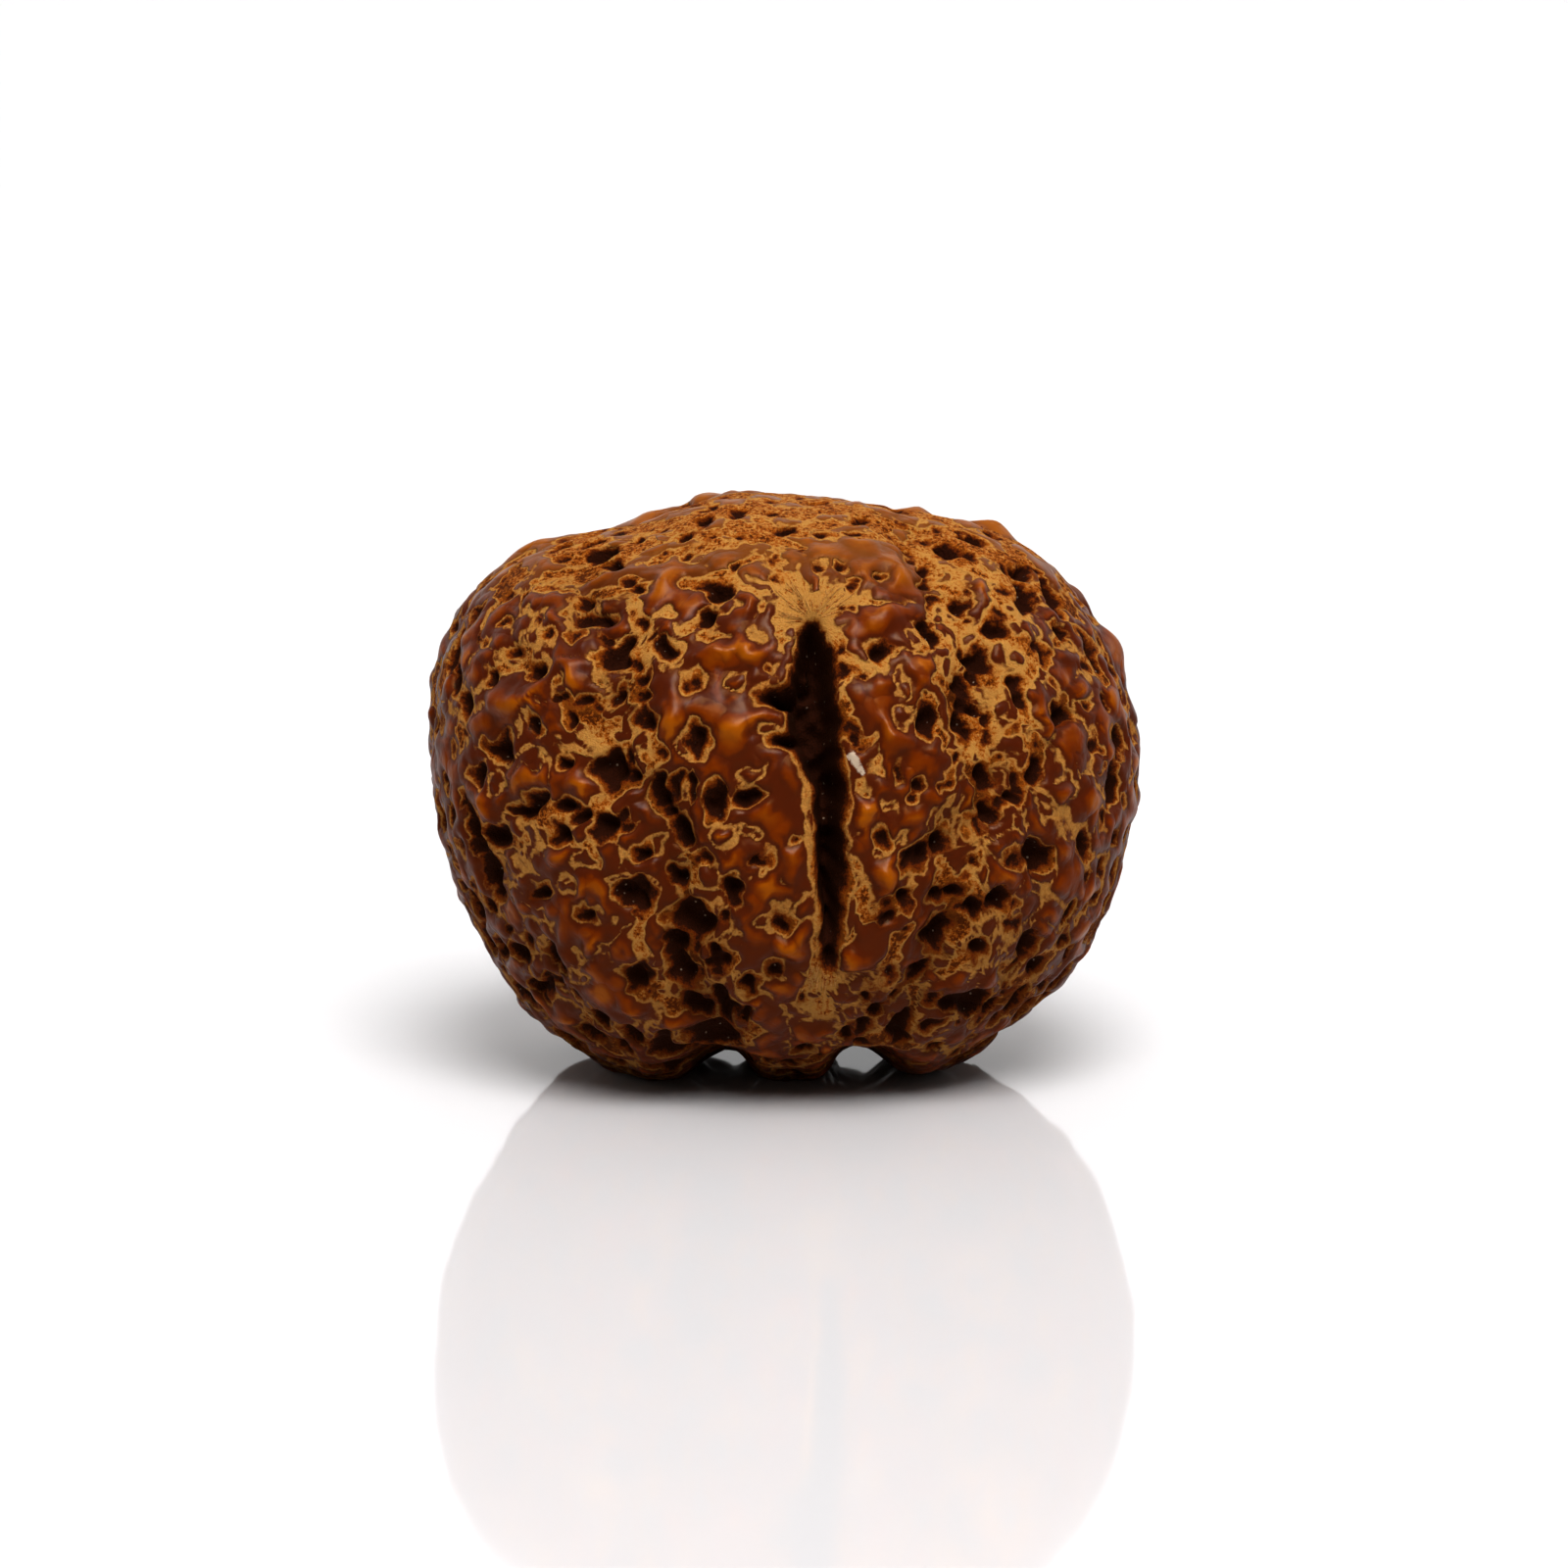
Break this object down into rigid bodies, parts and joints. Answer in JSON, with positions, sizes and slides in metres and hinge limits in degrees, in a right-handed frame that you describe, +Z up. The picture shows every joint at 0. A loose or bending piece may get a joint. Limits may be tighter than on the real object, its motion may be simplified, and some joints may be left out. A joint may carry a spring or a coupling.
{
  "type": "rudraksha seed",
  "caption": "Round woody seed stone with deep grooves from pole to pole, blistered glossy panels and dark pits, resting on three low lobes.",
  "frame": {"origin": "on the floor, under the middle of the seed's bounding box", "axes": "+X along the seed's greatest width, -Y towards the side with the long open slot, +Z up, close to the line from pole to pole"},
  "size_m": [0.0286, 0.026, 0.0231],
  "materials": {
    "seed_wood": "naturally polished dark brown skin over matte tan fibre"
  },
  "bodies": {
    "root": {"seed": "seed_wood"}
  },
  "joints": []
}
